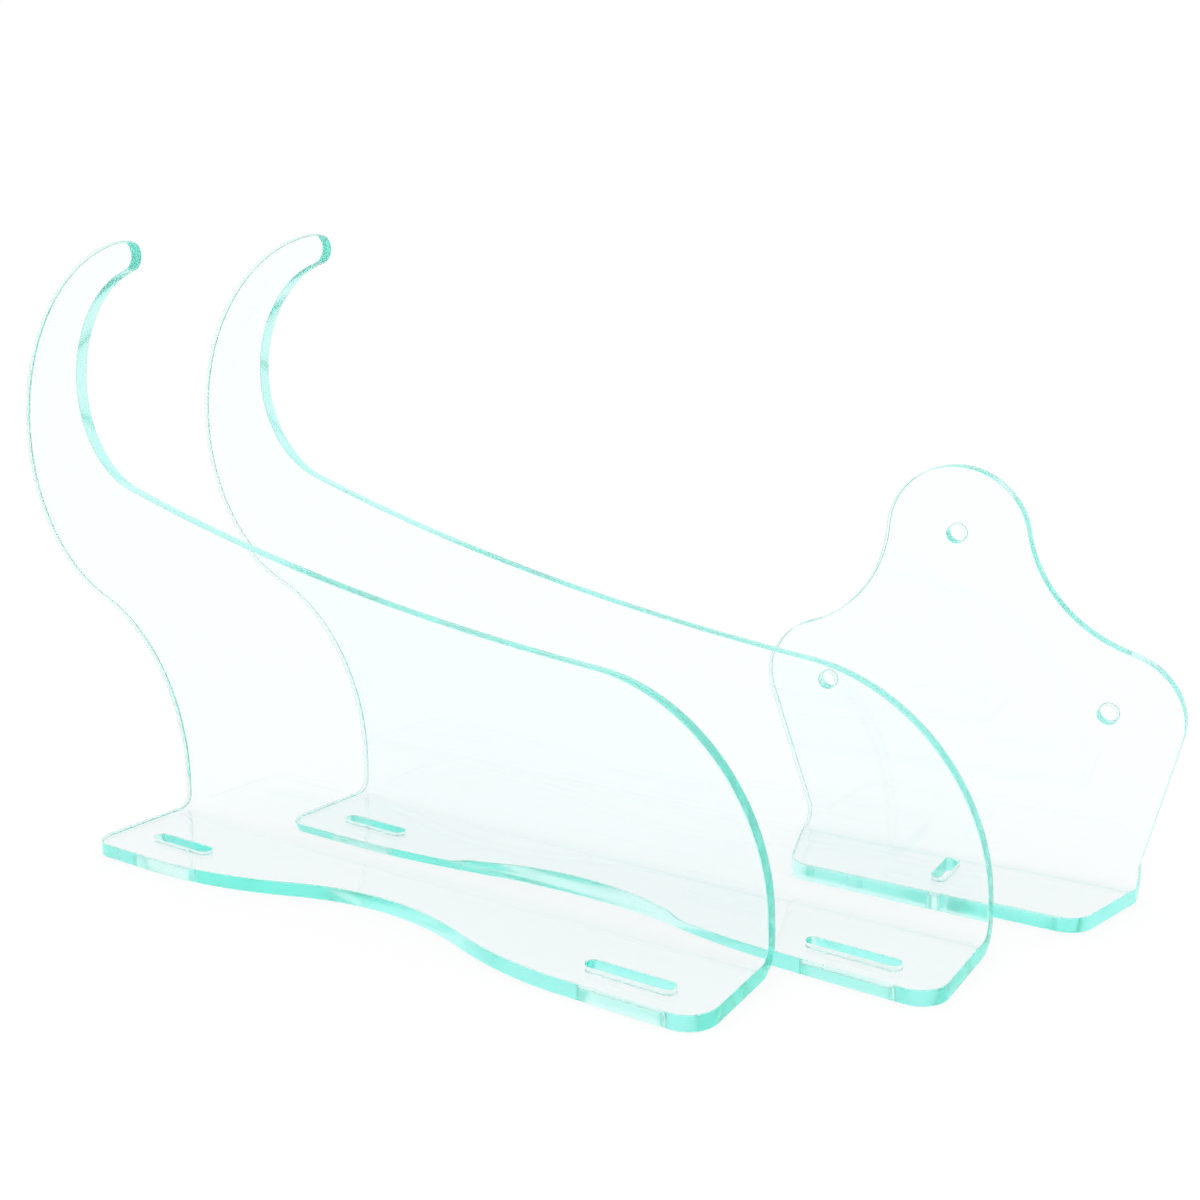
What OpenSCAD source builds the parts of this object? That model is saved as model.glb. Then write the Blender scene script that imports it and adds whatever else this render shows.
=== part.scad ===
// Set of three clear acrylic brackets, each line-bent from one flat blank.
// Two horned wings of one outline stand one behind the other, the far one bent
// slightly askew, with a bell-shaped screw plate behind their low ends.
// Units are millimetres. X runs along the bends, the feet point to -Y, Z is up.
// Each bracket is drawn at its own origin: x = 0 at the horn end of a wing's bend
// or on the bell's middle, y = 0 on the front face of the plate, z = 0 the floor.

/* [Sheet] */

// Thickness of the acrylic sheet
sheet = 5; // [3:0.5:8]
// Inside radius of the heat bend
bend_radius = 5; // [3:0.5:10]

/* [Wing plate] */

// Length of the wing along its bend
wing_length = 267; // [200:1:320]
// Height of the top of the horn above the floor
wing_height = 239.7; // [180:0.1:300]
// How far the horn reaches out past the end of the bend
horn_reach = 100.7; // [60:0.1:120]
// Radius of the outside of the horn
horn_outer_radius = 78.5; // [60:0.5:100]
// Radius of the crook inside the horn
crook_radius = 47.6; // [30:0.1:60]
// Centre of the crook along X, behind the end of the bend
crook_back = 13.5; // [0:0.5:40]
// Centre of the crook above the floor
crook_height = 181; // [140:0.5:220]
// Radius of the rounded tip of the horn
tip_radius = 6.2; // [3:0.1:10]
// Height at which the foot curve leaves the upright end
foot_curve_height = 15.3; // [12:0.1:40]
// Radius of the long shallow slope
slope_radius = 1164; // [600:1:2000]
// Radius of the shoulder at the low end
dome_radius = 69.3; // [40:0.1:90]
// Height of the centre of that shoulder
dome_height = 17.5; // [12:0.5:40]

/* [Wing foot] */

// Depth of the foot at the horn end, in front of the plate
foot_depth_horn = 45.3; // [30:0.1:70]
// Depth of the foot at its waist
foot_depth_waist = 27.3; // [20:0.1:40]
// Depth of the foot at the low end
foot_depth_low = 42; // [30:0.5:70]
// End of the straight front edge at the horn end
front_flat_horn = 34; // [20:1:80]
// Centre of the waist along X
waist_middle = 136.7; // [80:0.1:200]
// Start of the straight front edge at the low end
front_flat_low = 220; // [180:1:260]
// Radius of the waist
waist_radius = 110; // [60:1:150]
// Radius of the front corners of every foot
corner_radius = 10; // [4:0.5:15]

/* [Slots and holes] */

// Width of every slot
slot_width = 5; // [4:0.5:7]
// Overall length of a wing slot
wing_slot_length = 31; // [15:0.5:50]
// Centre of the slot at the horn end, along X
slot_horn_end = 34; // [25:0.5:60]
// Centre of the slot at the low end, along X
slot_low_end = 236; // [200:0.5:245]
// Distance from the wing plate forward to its slots
wing_slot_forward = 29; // [12:0.5:35]
// Overall length of the slot in the bell foot
bell_slot_length = 20; // [10:0.5:28]
// Distance from the bell plate forward to the middle of its slot
bell_slot_forward = 17.5; // [12:0.5:28]
// Diameter of the three screw holes in the bell plate
hole_diameter = 6.5; // [4:0.5:8]
// Height of the two lower holes
hole_low_height = 62.5; // [40:0.5:80]
// Height of the upper hole
hole_top_height = 122; // [100:0.5:140]
// Distance between the two lower holes
hole_spacing = 100.6; // [60:0.1:120]

/* [Bell] */

// Overall height of the bell plate
bell_height = 146.2; // [110:0.1:180]
// Width of the bell plate across its shoulders
bell_width = 149; // [120:0.5:200]
// Width of the bell at the bend
bell_bend_width = 120; // [90:0.5:150]
// Radius of the rounded crown
crown_radius = 25.4; // [15:0.1:35]
// Radius of the hollows below the crown
hollow_radius = 47; // [30:0.5:60]
// Radius of the shoulders
shoulder_radius = 22.5; // [10:0.5:30]
// Height of the centre of the shoulders
shoulder_height = 62.5; // [50:0.5:80]
// Depth of the bell foot in front of its plate
bell_foot_depth = 40; // [30:0.5:60]

/* [Layout] */

// Position of the far wing along X
far_wing_x = 51.5; // [0:0.5:120]
// Distance of the far wing behind the near one
far_wing_y = 53.5; // [52:0.5:150]
// How far the far wing is turned about the vertical, in degrees
far_wing_turn = -1.1; // [-3:0.1:3]
// How far the far wing's outline is askew to its bend, in degrees
far_wing_skew = -0.95; // [-2:0.05:2]
// Position of the middle of the bell bracket along X
bell_x = 290.3; // [200:0.1:400]
// Distance of the bell bracket behind the near wing
bell_y = 113.6; // [105:0.1:200]

/* [Hidden] */

$fn = 96;
// the bell plate leans 4.35 degrees forward over its foot, from a right triangle
// with whole sides, so that the leaning plate meets its bend exactly
bell_lean = atan2(237, 3116);
// neighbouring arcs cross by this much instead of only touching
crossing = 0.005;
// run of a cutter past what it cuts
over = 2;
bend_top = sheet + bend_radius;
// middle of the whole set seen from above, moved to the origin
set_middle = [
    (bell_x + bell_width / 2 - horn_reach) / 2,
    (bell_y + sheet - foot_depth_horn) / 2,
    0];

horn_centre = [horn_outer_radius - horn_reach, wing_height - horn_outer_radius];
crook_centre = [-crook_back, crook_height];
dome_centre = [wing_length - dome_radius, dome_height];
rise = horn_centre[1] - foot_curve_height;
foot_radius = (horn_centre[0] * horn_centre[0] + rise * rise
    - horn_outer_radius * horn_outer_radius)
    / (2 * (horn_outer_radius - horn_centre[0]));
foot_centre = [-foot_radius, foot_curve_height];
slope_centre = apex(crook_centre, slope_radius - crook_radius,
    dome_centre, slope_radius + dome_radius);
tip_centre = apex(horn_centre, horn_outer_radius - tip_radius,
    crook_centre, crook_radius + tip_radius);
slope_start = toward(slope_centre, crook_centre, slope_radius);
slope_end = toward(slope_centre, dome_centre, slope_radius);
foot_end = toward(foot_centre, horn_centre, foot_radius);

horn_swing = foot_depth_horn - foot_depth_waist;
low_swing = foot_depth_low - foot_depth_waist;
horn_run = waist_middle - front_flat_horn;
low_run = front_flat_low - waist_middle;
horn_bow = (horn_run * horn_run + horn_swing * horn_swing) / (2 * horn_swing) - waist_radius;
low_bow = (low_run * low_run + low_swing * low_swing) / (2 * low_swing) - waist_radius;
horn_bow_centre = [front_flat_horn, horn_bow - foot_depth_horn];
low_bow_centre = [front_flat_low, low_bow - foot_depth_low];
waist_centre = [waist_middle, -foot_depth_waist - waist_radius];
waist_start = toward(waist_centre, horn_bow_centre, waist_radius);
waist_end = toward(waist_centre, low_bow_centre, waist_radius);

crown_centre = [0, bell_height - crown_radius];
shoulder_centre = [bell_width / 2 - shoulder_radius, shoulder_height];
hollow_centre = apex(crown_centre, crown_radius + hollow_radius,
    shoulder_centre, shoulder_radius + hollow_radius);
hollow_start = toward(hollow_centre, shoulder_centre, hollow_radius);
hollow_end = toward(hollow_centre, crown_centre, hollow_radius);
bell_heel = [bell_bend_width / 2, bend_top];
heel_reach = norm(shoulder_centre - bell_heel);
side_angle = asin(shoulder_radius / heel_reach)
    + atan2(shoulder_centre[0] - bell_heel[0], shoulder_centre[1] - bell_heel[1]);
side_out = [cos(side_angle), -sin(side_angle)];
side_end = shoulder_centre + shoulder_radius * side_out;
toe_centre = [
    bell_heel[0] - (bell_foot_depth - corner_radius - bend_radius) * tan(side_angle)
        - corner_radius / cos(side_angle),
    corner_radius - bell_foot_depth];

// Point at the given distances from two centres, on the left of the line a to b
function apex(a, from_a, b, from_b) =
    let (
        gap = norm(b - a),
        along = (from_a * from_a - from_b * from_b + gap * gap) / (2 * gap),
        off = sqrt(from_a * from_a - along * along),
        u = (b - a) / gap
    )
    a + along * u + off * [-u[1], u[0]];

// Point at a distance from one centre on the ray through another
function toward(from, through, distance) =
    from + distance * (through - from) / norm(through - from);

function mirrored(p) = [-p[0], p[1]];

// Circle placed in whole millimetres first, which keeps large coordinates exact
module disc(centre, radius) {
    whole = [floor(centre[0]), floor(centre[1])];
    translate(whole)
        translate(centre - whole)
            circle(r = radius, $fn = 360);
}

// Disc that crosses its neighbours by a hair
module arc_disc(centre, radius) {
    disc(centre, radius + crossing);
}

// Stands a flat outline up as a plate whose front face is y = 0
module upright() {
    translate([0, sheet, 0])
        rotate([90, 0, 0])
            linear_extrude(height = sheet)
                children();
}

// Stretch of the bend between two angles about its axis, -90 being straight down
module bend(from_x, to_x, from_angle, to_angle) {
    reach = 2 * bend_top;
    middle = (from_angle + to_angle) / 2;
    translate([from_x, 0, 0])
        rotate([90, 0, 90])
            linear_extrude(height = to_x - from_x)
                intersection() {
                    difference() {
                        disc([0, 0], bend_top);
                        disc([0, 0], bend_radius);
                    }
                    polygon([
                        [0, 0],
                        reach * [cos(from_angle), sin(from_angle)],
                        reach * [cos(middle), sin(middle)],
                        reach * [cos(to_angle), sin(to_angle)]
                    ]);
                }
}

// Slot with round ends, its long way along X
module slot(length) {
    straight = length - slot_width;
    square([straight, slot_width], center = true);
    disc([-straight / 2, 0], slot_width / 2);
    disc([straight / 2, 0], slot_width / 2);
}

// Open space between the tip of the horn and the slope
module mouth() {
    aside = 2 * crook_radius;
    polygon([
        crook_centre,
        tip_centre,
        toward(horn_centre, tip_centre, horn_outer_radius + aside),
        [aside, wing_height + aside],
        [aside, crook_height]
    ]);
    disc(crook_centre, crook_radius + crossing);
    intersection() {
        disc(slope_centre, slope_radius);
        polygon([
            toward(slope_centre, crook_centre, slope_radius + aside),
            toward(slope_start, crook_centre, wing_height),
            [2 * wing_length, 2 * wing_height],
            [2 * wing_length, 0]
        ]);
    }
}

// Plate outline down to the floor, before it is cut off at the bend
module wing_outline() {
    difference() {
        union() {
            polygon([
                [0, 0],
                [wing_length, 0],
                [wing_length, dome_height],
                slope_end,
                slope_start,
                foot_end,
                [0, foot_curve_height]
            ]);
            disc(horn_centre, horn_outer_radius);
            arc_disc(dome_centre, dome_radius);
        }
        mouth();
        arc_disc(foot_centre, foot_radius);
    }
    arc_disc(tip_centre, tip_radius);
}

// Rounded stretch of a front edge between two X positions
module bow(centre, radius, from_x, to_x) {
    intersection() {
        arc_disc(centre, radius);
        translate([from_x, -foot_depth_horn - over])
            square([to_x - from_x, foot_depth_horn + over - bend_radius]);
    }
}

// Foot outline back to the plate, before it is cut off at the bend
module wing_foot_outline() {
    low_y = -foot_depth_low;
    difference() {
        union() {
            polygon([
                [0, 0],
                [0, corner_radius - foot_depth_horn],
                [corner_radius, -foot_depth_horn],
                [front_flat_horn, -foot_depth_horn],
                waist_start,
                waist_end,
                [front_flat_low, low_y],
                [wing_length - corner_radius, low_y],
                [wing_length, low_y + corner_radius],
                [wing_length, 0]
            ]);
            disc([corner_radius, corner_radius - foot_depth_horn], corner_radius);
            disc([wing_length - corner_radius, low_y + corner_radius], corner_radius);
            bow(horn_bow_centre, horn_bow, corner_radius, waist_middle);
            bow(low_bow_centre, low_bow, waist_middle, wing_length - corner_radius);
        }
        arc_disc(waist_centre, waist_radius);
        for (x = [slot_horn_end, slot_low_end])
            translate([x, -wing_slot_forward])
                slot(wing_slot_length);
    }
}

// Turns an outline about the middle of the bend and takes away a band above cut_from
module askew(angle, cut_from) {
    difference() {
        translate([wing_length / 2, 0])
            rotate(angle)
                translate([-wing_length / 2, 0])
                    children();
        translate([-wing_length, cut_from])
            square([3 * wing_length, wing_height]);
    }
}

// Wing whose outline is turned by an angle against its bend
module wing(skew) {
    // the bend's square ends lie halfway between those of the plate and the foot
    shortening = wing_length / 2 * (1 - cos(skew));
    shift = -(bend_top - bend_radius) / 2 * sin(skew);
    upright()
        askew(skew, bend_top - wing_height)
            wing_outline();
    translate([0, -bend_radius, bend_top])
        bend(shortening + shift, wing_length - shortening + shift, -90, 0);
    linear_extrude(height = sheet)
        askew(skew, -bend_radius)
            wing_foot_outline();
}

module bell_outline() {
    difference() {
        union() {
            polygon([
                bell_heel,
                side_end,
                hollow_start,
                hollow_end,
                mirrored(hollow_end),
                mirrored(hollow_start),
                mirrored(side_end),
                mirrored(bell_heel)
            ]);
            disc(crown_centre, crown_radius);
            arc_disc(shoulder_centre, shoulder_radius);
            arc_disc(mirrored(shoulder_centre), shoulder_radius);
        }
        arc_disc(hollow_centre, hollow_radius);
        arc_disc(mirrored(hollow_centre), hollow_radius);
        disc([0, hole_top_height], hole_diameter / 2);
        for (side = [-1, 1])
            disc([side * hole_spacing / 2, hole_low_height], hole_diameter / 2);
    }
}

module bell_foot_outline() {
    toe_side = toe_centre + corner_radius * side_out;
    toe_front = [toe_centre[0], -bell_foot_depth];
    heel = [bell_heel[0], -bend_radius];
    difference() {
        union() {
            polygon([
                heel,
                toe_side,
                toe_front,
                mirrored(toe_front),
                mirrored(toe_side),
                mirrored(heel)
            ]);
            arc_disc(toe_centre, corner_radius);
            arc_disc(mirrored(toe_centre), corner_radius);
        }
        translate([0, -bell_slot_forward])
            rotate(90)
                slot(bell_slot_length);
    }
}

module bell() {
    half = bell_bend_width / 2;
    translate([0, -bend_radius, bend_top]) {
        bend(-half, half, -90, bell_lean);
        rotate([bell_lean, 0, 0])
            translate([0, bend_radius, -bend_top])
                upright()
                    bell_outline();
    }
    linear_extrude(height = sheet)
        bell_foot_outline();
}

module near_wing() {
    color([0.80, 0.96, 0.93, 0.5])
        translate(-set_middle)
            wing(0);
}

module far_wing() {
    color([0.74, 0.94, 0.90, 0.5])
        translate([far_wing_x, far_wing_y, 0] - set_middle)
            rotate(far_wing_turn)
                wing(far_wing_skew);
}

module bell_bracket() {
    color([0.70, 0.92, 0.90, 0.5])
        translate([bell_x, bell_y, 0] - set_middle)
            bell();
}

near_wing();
far_wing();
bell_bracket();
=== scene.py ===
import math

import bpy
from mathutils import Matrix, Vector
from mathutils.geometry import delaunay_2d_cdt


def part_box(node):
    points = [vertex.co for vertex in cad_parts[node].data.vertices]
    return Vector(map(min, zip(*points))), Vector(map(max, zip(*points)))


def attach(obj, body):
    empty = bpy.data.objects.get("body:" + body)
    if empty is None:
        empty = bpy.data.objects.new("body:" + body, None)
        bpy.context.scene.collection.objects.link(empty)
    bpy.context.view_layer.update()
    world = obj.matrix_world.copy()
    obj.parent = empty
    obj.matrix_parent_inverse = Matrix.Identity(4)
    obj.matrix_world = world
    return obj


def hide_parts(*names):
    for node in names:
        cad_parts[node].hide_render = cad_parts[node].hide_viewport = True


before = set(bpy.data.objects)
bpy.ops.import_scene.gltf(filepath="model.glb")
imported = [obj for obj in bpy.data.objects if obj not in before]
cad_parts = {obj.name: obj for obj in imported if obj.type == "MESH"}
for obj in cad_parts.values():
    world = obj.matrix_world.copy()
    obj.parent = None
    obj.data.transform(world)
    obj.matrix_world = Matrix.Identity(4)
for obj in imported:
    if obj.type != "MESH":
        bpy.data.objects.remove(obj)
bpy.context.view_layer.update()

# ---------------------------------------------------------------- sizes
# shapes are worked out in millimetres and scaled by MM when a mesh is made
MM = 0.001
SHEET = 5.0
BEND_RADIUS = 5.0       # inside of the bend
BEND_TOP = SHEET + BEND_RADIUS
CORNER = 10.0
SLOT_WIDTH = 5.0
HOLE_RADIUS = 3.25
ARRIS = 0.2             # the rounded arris where a cut edge meets a face
ARC_STEP = 1.2          # points along an arc are at most this far apart
ARC_TURN = 5.0          # and at most this many degrees
BEND_ROWS = 16
GUARD = 0.4             # narrow flat rows on both sides of the bend
ON_ROW = 0.002          # a point this close to a row counts as lying on it
SAME_POINT = 0.02       # points closer than this are one point
FACE, EDGE, ROUND = 0, 1, 2     # places in FINISHES

FAR_TURN = math.radians(-1.1)           # how the far wing stands turned
FAR_SKEW = math.radians(-0.95)          # and how its outline is askew to its bend
BELL_LEAN = math.atan2(237, 3116)       # forward, over its foot

# what follows is in metres, apart from the lens
ACRYLIC_IOR = 1.49
TINT = (0.15, 0.98, 0.92, 1)
TINT_DENSITY = 8.5
NOISE_MIDDLE = 0.3, 0.7         # the range that most of a noise falls in
HAZE_SCALE, HAZE = 14, 0.025
TONE_SCALE, TONE_STOPS = 60, (0.35, 0.65)
TONES = (0.84, 0.99, 0.97, 1), (0.93, 1.0, 0.99, 1)
GRAIN_SCALE, GRAIN_STRETCH = 260, (1, 1, 0.25)
BUMP_STRENGTH, BUMP_HEIGHT = 0.1, 0.00001
PAINTED_EDGE_GLOW_COLOUR = (0.1, 1.0, 0.85, 1)
PAINTED_EDGE_GLOW = 0.045                    # painted light: a faint glow that stands in for light led along the sheet to its rim

YAW, PITCH, ROLL = math.radians(33.459), math.radians(4.238), math.radians(-1.209)
EYE = Vector((0.29686, -0.36777, 0.18495))
LENS, LENS_SHIFT = 37.716, -0.12
BRIGHT_SIDE = (-0.55, 0.83, 0.0)
LIGHT_FADE = -0.7, 0.3
LIGHT_BEFORE, LIGHT_BEHIND = 0.95, 1.015
FLOOR_GREY, FLOOR_ROUGHNESS, FLOOR_GLOW = 0.2, 0.6, 0.822
FLOOR_SIZE, FLOOR_GAP = 40, 0.0001      # the gap keeps the floor off the undersides


# ---------------------------------------------------------------- outlines
def point(x, y):
    return Vector((x, y))


def apex(a, from_a, b, from_b):
    """The point at those distances from a and b, on the left of the line from a to b."""
    gap = (b - a).length
    along = (from_a ** 2 - from_b ** 2 + gap ** 2) / (2 * gap)
    off = math.sqrt(from_a ** 2 - along ** 2)
    u = (b - a) / gap
    return a + along * u + off * point(-u.y, u.x)


def toward(start, through, distance):
    """The point at a distance from start, on its line through another point."""
    return start + distance * (through - start).normalized()


def arc(centre, start, end, sense):
    """Points from start to end about centre, sense 1 anticlockwise or -1 clockwise."""
    radius = (start - centre).length
    first = math.atan2(start.y - centre.y, start.x - centre.x)
    last = math.atan2(end.y - centre.y, end.x - centre.x)
    sweep = (sense * (last - first)) % (2 * math.pi)
    count = max(2, math.ceil(sweep / min(ARC_STEP / radius, math.radians(ARC_TURN))))
    angles = [first + sense * sweep * i / count for i in range(count + 1)]
    return [centre + radius * point(math.cos(a), math.sin(a)) for a in angles]


def ring(centre, radius):
    """Round hole, clockwise."""
    count = max(48, math.ceil(2 * math.pi * radius / ARC_STEP))
    angles = [-2 * math.pi * i / count for i in range(count)]
    return [centre + radius * point(math.cos(a), math.sin(a)) for a in angles]


def slot_ring(centre, length, along):
    """Round-ended slot, clockwise as a hole."""
    half = (length - SLOT_WIDTH) / 2
    across = point(-along.y, along.x) * SLOT_WIDTH / 2
    a, b = centre - half * along, centre + half * along
    return arc(b, b + across, b - across, -1) + arc(a, a - across, a + across, -1)


def wing_loops():
    """Blank of a wing: foot, plate, cut-outs in the foot, cut-outs in the plate.

    A foot's y is minus its depth and a plate's y is its height, both in place after bending.
    """
    length, height, reach = 267.0, 239.7, 100.7
    horn_r, crook_r, tip_r = 78.5, 47.6, 6.2
    slope_r, dome_r, dome_h, curve_h = 1164.0, 69.3, 17.5, 15.3
    horn, waist, low = 45.3, 27.3, 42.0
    flat_horn, waist_x, flat_low, waist_r = 34.0, 136.7, 220.0, 110.0
    slot_depth, slot_length, slot_at = 29.0, 31.0, (34.0, 236.0)

    horn_c = point(horn_r - reach, height - horn_r)
    crook_c = point(-13.5, 181.0)
    dome_c = point(length - dome_r, dome_h)
    rise = horn_c.y - curve_h
    foot_r = (horn_c.x ** 2 + rise ** 2 - horn_r ** 2) / (2 * (horn_r - horn_c.x))
    foot_c = point(-foot_r, curve_h)
    slope_c = apex(crook_c, slope_r - crook_r, dome_c, slope_r + dome_r)
    tip_c = apex(horn_c, horn_r - tip_r, crook_c, crook_r + tip_r)
    slope_start = toward(slope_c, crook_c, slope_r)
    slope_end = toward(slope_c, dome_c, slope_r)
    plate = [point(length, BEND_TOP)]
    plate += arc(dome_c, point(length, dome_h), slope_end, 1)
    plate += arc(slope_c, slope_end, slope_start, -1)
    plate += arc(crook_c, slope_start, toward(crook_c, tip_c, crook_r), -1)
    plate += arc(tip_c, toward(crook_c, tip_c, crook_r), toward(horn_c, tip_c, horn_r), 1)
    plate += arc(horn_c, toward(horn_c, tip_c, horn_r), toward(foot_c, horn_c, foot_r), 1)
    plate += arc(foot_c, toward(foot_c, horn_c, foot_r), point(0, curve_h), -1)
    plate += [point(0, BEND_TOP)]

    def bow(run, swing, x, depth):
        return point(x, (run ** 2 + swing ** 2) / (2 * swing) - waist_r - depth)

    horn_bow = bow(waist_x - flat_horn, horn - waist, flat_horn, horn)
    low_bow = bow(flat_low - waist_x, low - waist, flat_low, low)
    waist_c = point(waist_x, -waist - waist_r)
    waist_start = toward(waist_c, horn_bow, waist_r)
    waist_end = toward(waist_c, low_bow, waist_r)
    foot = [point(0, -BEND_RADIUS)]
    foot += arc(point(CORNER, CORNER - horn), point(0, CORNER - horn), point(CORNER, -horn), 1)
    foot += arc(horn_bow, point(flat_horn, -horn), waist_start, 1)
    foot += arc(waist_c, waist_start, waist_end, -1)
    foot += arc(low_bow, waist_end, point(flat_low, -low), 1)
    corner_c = point(length - CORNER, CORNER - low)
    foot += arc(corner_c, point(length - CORNER, -low), point(length, CORNER - low), 1)
    foot += [point(length, -BEND_RADIUS)]
    slots = [slot_ring(point(x, -slot_depth), slot_length, point(1, 0)) for x in slot_at]
    return foot, plate, slots, []


def bell_loops():
    """Blank of the bell bracket, in the same four parts as a wing's."""
    height, width, bend_width, depth = 146.2, 149.0, 120.0, 40.0
    crown_r, hollow_r, shoulder_r, shoulder_h = 25.4, 47.0, 22.5, 62.5
    slot_depth, slot_length = 17.5, 20.0
    hole_at = (0, 122.0), (-50.3, 62.5), (50.3, 62.5)
    crown_c = point(0, height - crown_r)
    shoulder_c = point(width / 2 - shoulder_r, shoulder_h)
    hollow_c = apex(crown_c, crown_r + hollow_r, shoulder_c, shoulder_r + hollow_r)
    heel = point(bend_width / 2, BEND_TOP)
    reach = (shoulder_c - heel).length
    angle = math.asin(shoulder_r / reach) + math.atan2(shoulder_c.x - heel.x, shoulder_c.y - heel.y)
    out = point(math.cos(angle), -math.sin(angle))
    taper = (depth - CORNER - BEND_RADIUS) * math.tan(angle)
    toe_c = point(heel.x - taper - CORNER / math.cos(angle), CORNER - depth)
    hollow_start = toward(hollow_c, shoulder_c, hollow_r)
    hollow_end = toward(hollow_c, crown_c, hollow_r)

    def flip(points):
        return [point(-p.x, p.y) for p in reversed(points)]

    right = [heel]
    right += arc(shoulder_c, shoulder_c + shoulder_r * out, hollow_start, 1)
    right += arc(hollow_c, hollow_start, hollow_end, -1)
    right += arc(crown_c, hollow_end, point(0, height), 1)
    foot_right = arc(toe_c, point(toe_c.x, -depth), toe_c + CORNER * out, 1)
    foot_right += [point(heel.x, -BEND_RADIUS)]
    slots = [slot_ring(point(0, -slot_depth), slot_length, point(0, 1))]
    holes = [ring(point(x, z), HOLE_RADIUS) for x, z in hole_at]
    return flip(foot_right) + foot_right, right + flip(right), slots, holes


# ---------------------------------------------------------------- sheet solids
def tidy(loop):
    """Leaves out points that fall on the one before."""
    kept = []
    for p in loop:
        if not kept or (p - kept[-1]).length > SAME_POINT:
            kept.append(p)
    if (kept[0] - kept[-1]).length <= SAME_POINT:
        kept.pop()
    return kept


def inset(loop, distance):
    """Loop moved towards the material, which lies on its left."""
    moved = []
    for i, p in enumerate(loop):
        a = (p - loop[i - 1]).normalized()
        b = (loop[(i + 1) % len(loop)] - p).normalized()
        n = point(-a.y - b.y, a.x + b.x).normalized()
        moved.append(p + n * distance / max(0.5, n.dot(point(-a.y, a.x))))
    return moved


def with_row(loop, t):
    """Adds a point wherever the loop crosses height t and has none there yet."""
    added = []
    for i, p in enumerate(loop):
        q = loop[(i + 1) % len(loop)]
        added.append(p)
        if (p.y - t) * (q.y - t) < 0 and min(abs(p.y - t), abs(q.y - t)) > ON_ROW:
            added.append(p + (q - p) * (t - p.y) / (q.y - p.y))
    return added


def inside(p, loops):
    """Even-odd test over all the loops of a blank."""
    odd = False
    for loop in loops:
        for i, b in enumerate(loop):
            a = loop[i - 1]
            if (a.y > p.y) != (b.y > p.y) and p.x < a.x + (b.x - a.x) * (p.y - a.y) / (b.y - a.y):
                odd = not odd
    return odd


def rim_profile():
    """Depth into the material and height across the sheet, from the inner face round the rim to the outer."""
    half = SHEET / 2
    quarter = [(ARRIS * (1 - math.sin(a)), half - ARRIS * (1 - math.cos(a)))
               for a in (math.radians(d) for d in (0, 30, 60, 90))]
    return quarter + [(depth, -height) for depth, height in reversed(quarter)]


def flat_rings(loops, bend_length, skew):
    """The blank laid flat, with y from where the bend begins. The outline comes first, then the cut-outs."""
    foot, plate, foot_rings, plate_rings = loops
    lift = bend_length - BEND_TOP

    def low(loop):
        return [point(p.x, p.y + BEND_RADIUS) for p in loop]

    def high(loop):
        return [point(p.x, p.y + lift) for p in loop]

    pivot = point((plate[0].x + plate[-1].x) / 2, (BEND_RADIUS + lift) / 2)
    turn = Matrix.Rotation(skew, 2)
    rings = [low(foot) + high(plate)] + [low(r) for r in foot_rings] + [high(r) for r in plate_rings]
    return [tidy([pivot + turn @ (p - pivot) for p in r]) for r in rings]


def bent(p, height, bend_length):
    """Where a point of the blank lies once bent, its height measured across the sheet from the middle."""
    middle = BEND_RADIUS + SHEET / 2
    t = min(max(p.y, 0), bend_length)
    angle = t / middle - math.pi / 2
    radial = point(math.cos(angle), math.sin(angle))
    run = point(-radial.y, radial.x) * (p.y - t)
    yz = point(-BEND_RADIUS, BEND_TOP) + radial * (middle - height) + run
    return Vector((p.x, yz.x, yz.y))


def fill(outline, insets, rows):
    """Triangles between the inset rings, their points numbered through all the rings."""
    points = [p for loop in insets for p in loop]
    edges = []
    start = 0
    for loop in insets:
        edges += [(start + i, start + (i + 1) % len(loop)) for i in range(len(loop))]
        start += len(loop)
    # narrow rows keep the flat parts flat and give the bend its segments
    for t in rows:
        ends = sorted((p.x, i) for i, p in enumerate(outline) if abs(p.y - t) <= ON_ROW)
        edges.append((ends[0][1], ends[-1][1]))
    corners, _, triangles, origins, _, _ = delaunay_2d_cdt(points, edges, [], 1, 1e-7)
    if len(corners) != len(points):
        raise RuntimeError("a row of the blank has no points of its own on the outline")
    kept = [t for t in triangles if inside(sum((corners[i] for i in t), point(0, 0)) / len(t), insets)]
    return [[origins[i][0] for i in t] for t in kept]


def centred(corners, box):
    """Shifts corners so that the middle of their box falls on the middle of another box."""
    lowest = Vector([min(v[i] for v in corners) for i in range(3)])
    highest = Vector([max(v[i] for v in corners) for i in range(3)])
    shift = (Vector(box[0]) + Vector(box[1]) - lowest - highest) / 2
    return [v + shift for v in corners]


def sharpen(mesh):
    """Marks the edges between the flat faces and the rim, so each is shaded by itself."""
    kinds = {}
    for polygon in mesh.polygons:
        for key in polygon.edge_keys:
            kinds.setdefault(key, set()).add(polygon.material_index == FACE)
    for edge in mesh.edges:
        edge.use_edge_sharp = len(kinds[edge.key]) > 1


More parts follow.
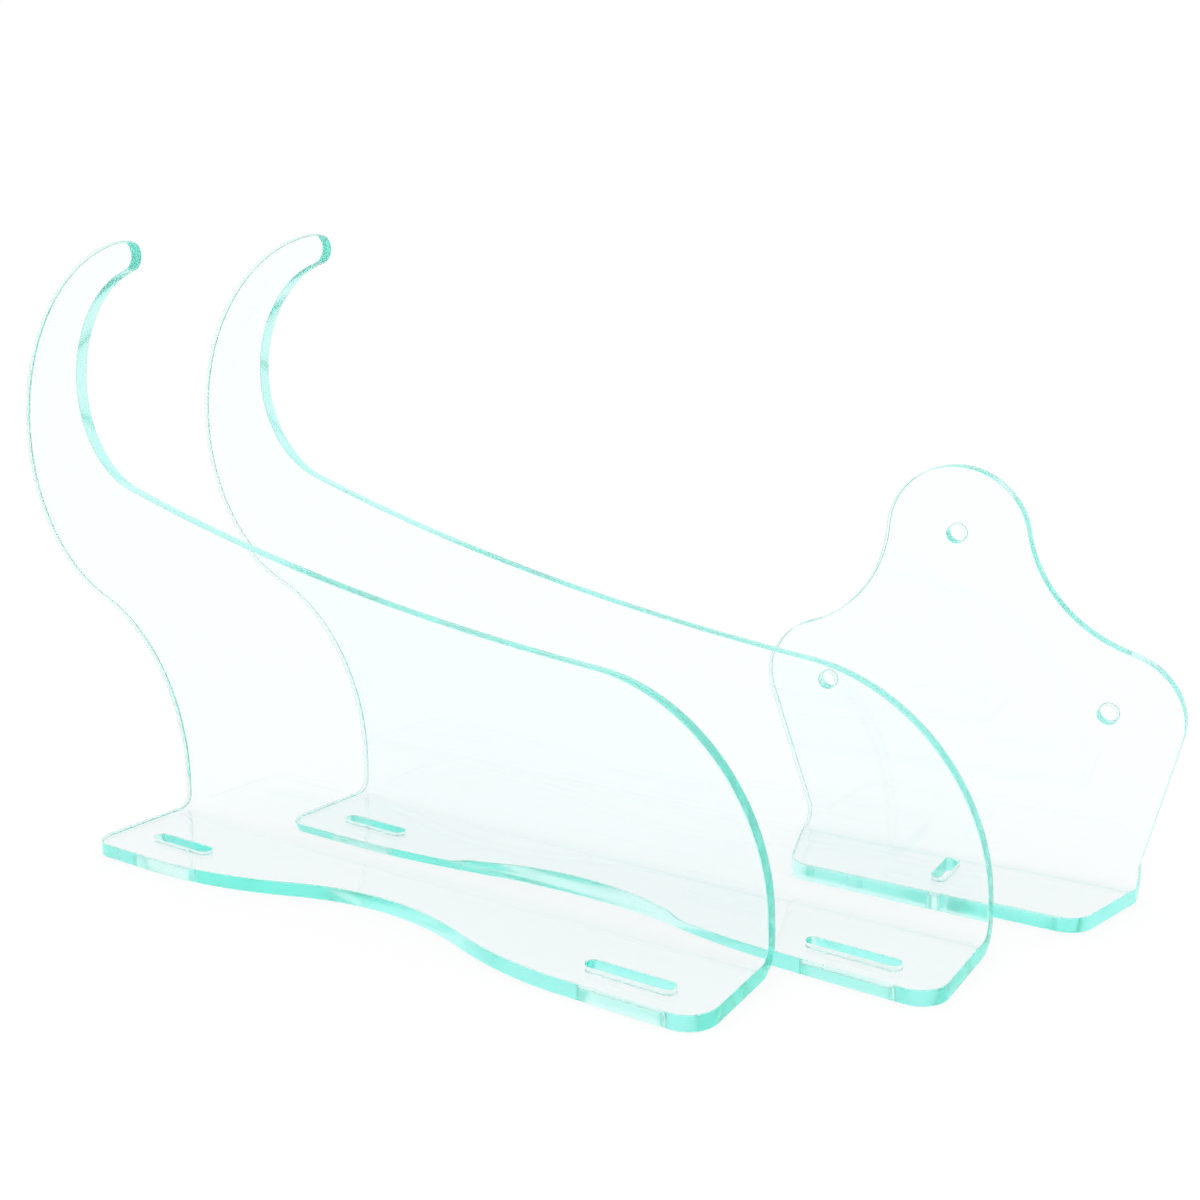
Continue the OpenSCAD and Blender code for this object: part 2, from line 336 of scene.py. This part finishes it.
def bent_sheet(name, loops, lean, skew, turn, box):
    """Cuts a flat blank from its loops, bends it along one line and stands it where the box is."""
    about_z = Matrix.Rotation(turn, 3, "Z")
    bend_length = (BEND_RADIUS + SHEET / 2) * (math.pi / 2 + lean)
    rows = [-GUARD] + [bend_length * i / BEND_ROWS for i in range(BEND_ROWS + 1)] + [bend_length + GUARD]
    rings = flat_rings(loops, bend_length, skew)
    for t in rows:
        rings[0] = with_row(rings[0], t)

    profile = rim_profile()
    strips = len(profile) - 1
    corners, faces, finishes = [], [], []
    tops, bottoms = [], []
    for loop in rings:
        first, count = len(corners), len(loop)
        for depth, height in profile:
            corners += [about_z @ bent(p, height, bend_length) * MM for p in inset(loop, depth)]
        for strip in range(strips):
            a, b = first + strip * count, first + (strip + 1) * count
            for i in range(count):
                j = (i + 1) % count
                faces.append((a + i, b + i, b + j, a + j))
                finishes.append(EDGE if strip == strips // 2 else ROUND)
        tops += range(first, first + count)
        bottoms += range(first + strips * count, first + (strips + 1) * count)

    for triangle in fill(rings[0], [inset(loop, ARRIS) for loop in rings], rows):
        faces.append(tuple(tops[i] for i in triangle))
        faces.append(tuple(bottoms[i] for i in reversed(triangle)))
        finishes += [FACE, FACE]

    mesh = bpy.data.meshes.new(name)
    mesh.from_pydata(centred(corners, box), [], faces)
    mesh.polygons.foreach_set("material_index", finishes)
    mesh.polygons.foreach_set("use_smooth", [True] * len(faces))
    sharpen(mesh)
    sheet = bpy.data.objects.new(name, mesh)
    bpy.context.scene.collection.objects.link(sheet)
    return sheet


# ---------------------------------------------------------------- finishes
def acrylic(name, clear):
    """Clear sheet, tinted in its volume, so the colour deepens with the light's path through it."""
    material = bpy.data.materials.new(name)
    material.use_nodes = True
    tree = material.node_tree
    shader = tree.nodes["Principled BSDF"]
    shader.inputs["Base Color"].default_value = (1, 1, 1, 1)
    shader.inputs["IOR"].default_value = ACRYLIC_IOR
    shader.inputs["Transmission Weight"].default_value = clear
    absorb = tree.nodes.new("ShaderNodeVolumeAbsorption")
    absorb.inputs["Color"].default_value = TINT
    absorb.inputs["Density"].default_value = TINT_DENSITY
    tree.links.new(absorb.outputs["Volume"], tree.nodes["Material Output"].inputs["Volume"])
    return material, tree, shader


def noise(tree, scale, detail, stretch=(1, 1, 1)):
    """Three-dimensional noise in the part's own metres."""
    coords = tree.nodes.new("ShaderNodeTexCoord")
    mapping = tree.nodes.new("ShaderNodeMapping")
    mapping.inputs["Scale"].default_value = stretch
    texture = tree.nodes.new("ShaderNodeTexNoise")
    texture.inputs["Scale"].default_value = scale
    texture.inputs["Detail"].default_value = detail
    tree.links.new(coords.outputs["Object"], mapping.inputs["Vector"])
    tree.links.new(mapping.outputs["Vector"], texture.inputs["Vector"])
    return texture.outputs["Fac"]


def fade(tree, source, span, ends):
    """Maps a span of a value to new ends."""
    fit = tree.nodes.new("ShaderNodeMapRange")
    fit.inputs["From Min"].default_value, fit.inputs["From Max"].default_value = span
    fit.inputs["To Min"].default_value, fit.inputs["To Max"].default_value = ends
    tree.links.new(source, fit.inputs["Value"])
    return fit


def polished_face():
    """Cast face: glossy, with faint hazy patches from handling."""
    material, tree, shader = acrylic("acrylic_polished", 1.0)
    haze = fade(tree, noise(tree, HAZE_SCALE, 4), NOISE_MIDDLE, (0.0, HAZE))
    tree.links.new(haze.outputs["Result"], shader.inputs["Roughness"])
    return material


def cut_edge(name, clear, roughness):
    """Laser-cut rim: bright, with fine upright striations, and a faint painted glow standing in for light led
    along the sheet.
    """
    material, tree, shader = acrylic(name, clear)
    grain = noise(tree, GRAIN_SCALE, 3, GRAIN_STRETCH)
    tone = tree.nodes.new("ShaderNodeValToRGB")
    for stop, position, colour in zip(tone.color_ramp.elements, TONE_STOPS, TONES):
        stop.position = position
        stop.color = colour
    tree.links.new(noise(tree, TONE_SCALE, 2), tone.inputs["Fac"])
    tree.links.new(tone.outputs["Color"], shader.inputs["Base Color"])
    worn = fade(tree, grain, NOISE_MIDDLE, roughness)
    tree.links.new(worn.outputs["Result"], shader.inputs["Roughness"])
    bump = tree.nodes.new("ShaderNodeBump")
    bump.inputs["Strength"].default_value = BUMP_STRENGTH
    bump.inputs["Distance"].default_value = BUMP_HEIGHT
    tree.links.new(grain, bump.inputs["Height"])
    tree.links.new(bump.outputs["Normal"], shader.inputs["Normal"])
    # painted light: the rim gives off a faint turquoise glow of its own, though it is no lamp
    shader.inputs["Emission Color"].default_value = PAINTED_EDGE_GLOW_COLOUR
    shader.inputs["Emission Strength"].default_value = PAINTED_EDGE_GLOW
    return material


FINISHES = (polished_face(),
            cut_edge("acrylic_cut_edge", 0.86, (0.1, 0.17)),
            cut_edge("acrylic_arris", 0.55, (0.25, 0.35)))


for node, body, loops, lean, skew, turn in (
        ("near_wing", "near_wing_body", wing_loops(), 0.0, 0.0, 0.0),
        ("far_wing", "far_wing_body", wing_loops(), 0.0, FAR_SKEW, FAR_TURN),
        ("bell_bracket", "bell_body", bell_loops(), BELL_LEAN, 0.0, 0.0)):
    sheet = bent_sheet(node + "_sheet", loops, lean, skew, turn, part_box(node))
    for finish in FINISHES:
        sheet.data.materials.append(finish)
    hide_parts(node)
    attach(sheet, body)


# ---------------------------------------------------------------- camera and studio
def make_camera():
    """Camera at EYE, turned by YAW, tipped down by PITCH and tilted by ROLL."""
    forward = Vector((-math.sin(YAW) * math.cos(PITCH), math.cos(YAW) * math.cos(PITCH), -math.sin(PITCH)))
    level = forward.cross(Vector((0, 0, 1))).normalized()
    upright = level.cross(forward)
    right = math.cos(ROLL) * level + math.sin(ROLL) * upright
    up = math.cos(ROLL) * upright - math.sin(ROLL) * level
    data = bpy.data.cameras.new("camera")
    data.sensor_width = 36.0
    data.lens = LENS
    data.shift_y = LENS_SHIFT
    data.clip_start = 0.01
    data.clip_end = 100.0
    camera = bpy.data.objects.new("camera", data)
    bpy.context.scene.collection.objects.link(camera)
    turn = Matrix((right, up, -forward)).transposed().to_4x4()
    camera.matrix_world = Matrix.Translation(EYE) @ turn
    bpy.context.scene.camera = camera


def make_floor():
    """Plain white floor that gives off most of its brightness itself, so shadows stay faint."""
    bpy.ops.mesh.primitive_plane_add(size=FLOOR_SIZE)
    floor = bpy.context.object
    floor.name = "floor"
    floor.location = (0, 0, -FLOOR_GAP)
    pale = bpy.data.materials.new("pale_floor")
    pale.use_nodes = True
    shader = pale.node_tree.nodes["Principled BSDF"]
    shader.inputs["Base Color"].default_value = (FLOOR_GREY, FLOOR_GREY, FLOOR_GREY, 1)
    shader.inputs["Roughness"].default_value = FLOOR_ROUGHNESS
    shader.inputs["Specular IOR Level"].default_value = 0.0
    shader.inputs["Emission Color"].default_value = (1, 1, 1, 1)
    shader.inputs["Emission Strength"].default_value = FLOOR_GLOW
    floor.data.materials.append(pale)


def make_light():
    """Soft light from all round: white behind the set, a little less from the other side."""
    world = bpy.data.worlds.new("studio")
    bpy.context.scene.world = world
    world.use_nodes = True
    tree = world.node_tree
    background = tree.nodes["Background"]
    background.inputs["Color"].default_value = (1, 1, 1, 1)
    coords = tree.nodes.new("ShaderNodeTexCoord")
    facing = tree.nodes.new("ShaderNodeVectorMath")
    facing.operation = "DOT_PRODUCT"
    facing.inputs[1].default_value = BRIGHT_SIDE
    tree.links.new(coords.outputs["Generated"], facing.inputs[0])
    light = fade(tree, facing.outputs["Value"], LIGHT_FADE, (LIGHT_BEFORE, LIGHT_BEHIND))
    light.interpolation_type = "SMOOTHSTEP"
    tree.links.new(light.outputs["Result"], background.inputs["Strength"])


make_floor()
make_light()
make_camera()
scene = bpy.context.scene
scene.view_settings.view_transform = "Standard"
# light led along the sheet bounces between its faces many times before it leaves
scene.cycles.max_bounces = 96
scene.cycles.transmission_bounces = 80
scene.cycles.glossy_bounces = 80
scene.cycles.diffuse_bounces = 8
